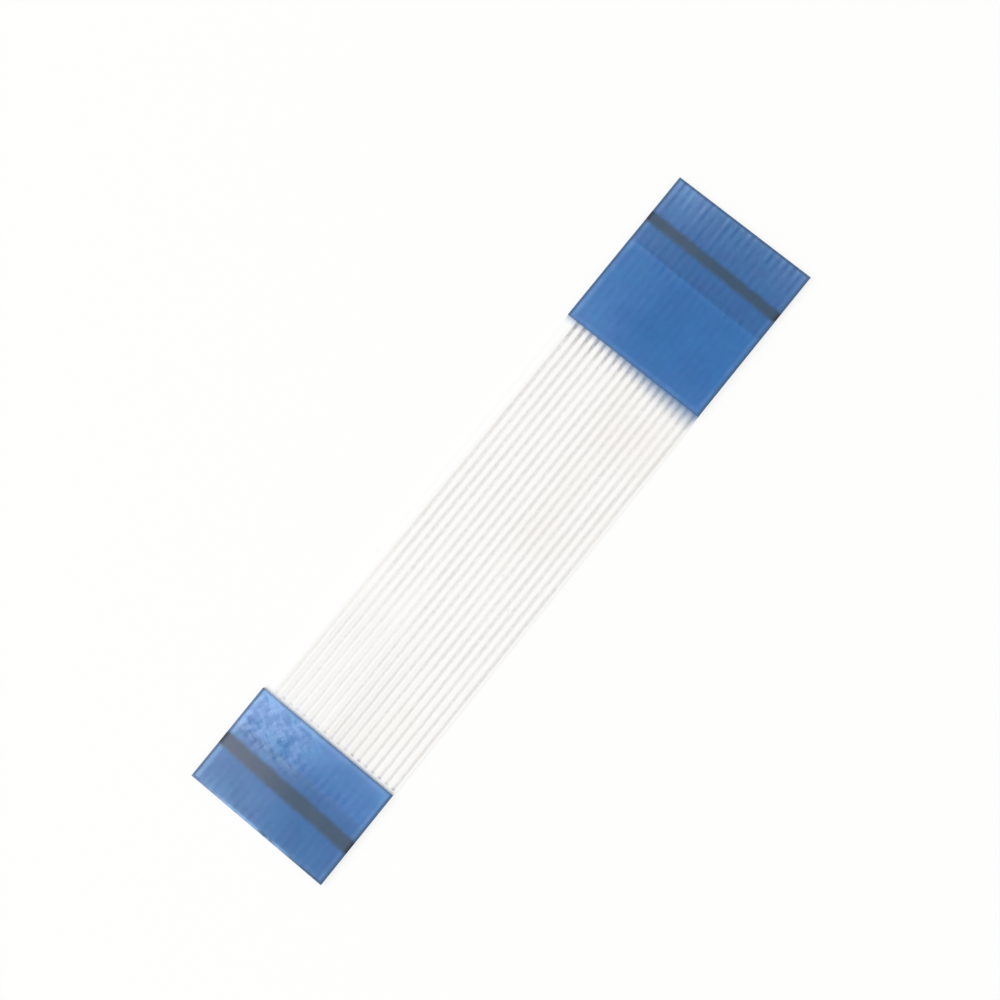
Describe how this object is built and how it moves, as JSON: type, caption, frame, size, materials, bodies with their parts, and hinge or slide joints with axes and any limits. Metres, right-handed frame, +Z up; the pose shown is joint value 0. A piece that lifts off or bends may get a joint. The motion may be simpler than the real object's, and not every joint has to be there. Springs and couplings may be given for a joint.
{
  "type": "flat flex cable",
  "caption": "Flat flex cable: flat conductors laminated side by side between white films, with a blue backing stiffener, bare contacts and an insertion line at each end.",
  "frame": {"origin": "under the middle of the cable, on the surface that it lies on", "axes": "+X along the cable towards the long stiffened end, +Y across it, +Z up, from the side with the bare contacts to the side with the stiffeners"},
  "size_m": [0.044, 0.0094, 0.0004],
  "materials": {
    "film": "satin",
    "conductor": "satin",
    "stiffener": "satin",
    "ink": "matte"
  },
  "bodies": {
    "root": {"upper_film": "film", "lower_film": "film", "conductor_01": "conductor", "conductor_02": "conductor", "conductor_03": "conductor", "conductor_04": "conductor", "conductor_05": "conductor", "conductor_06": "conductor", "conductor_07": "conductor", "conductor_08": "conductor", "conductor_09": "conductor", "conductor_10": "conductor", "conductor_11": "conductor", "conductor_12": "conductor", "conductor_13": "conductor", "conductor_14": "conductor", "conductor_15": "conductor", "conductor_16": "conductor", "conductor_17": "conductor", "conductor_18": "conductor", "stiffener_long_end": "stiffener", "stiffener_short_end": "stiffener", "insertion_line_long_end": "ink", "insertion_line_short_end": "ink"}
  },
  "joints": []
}
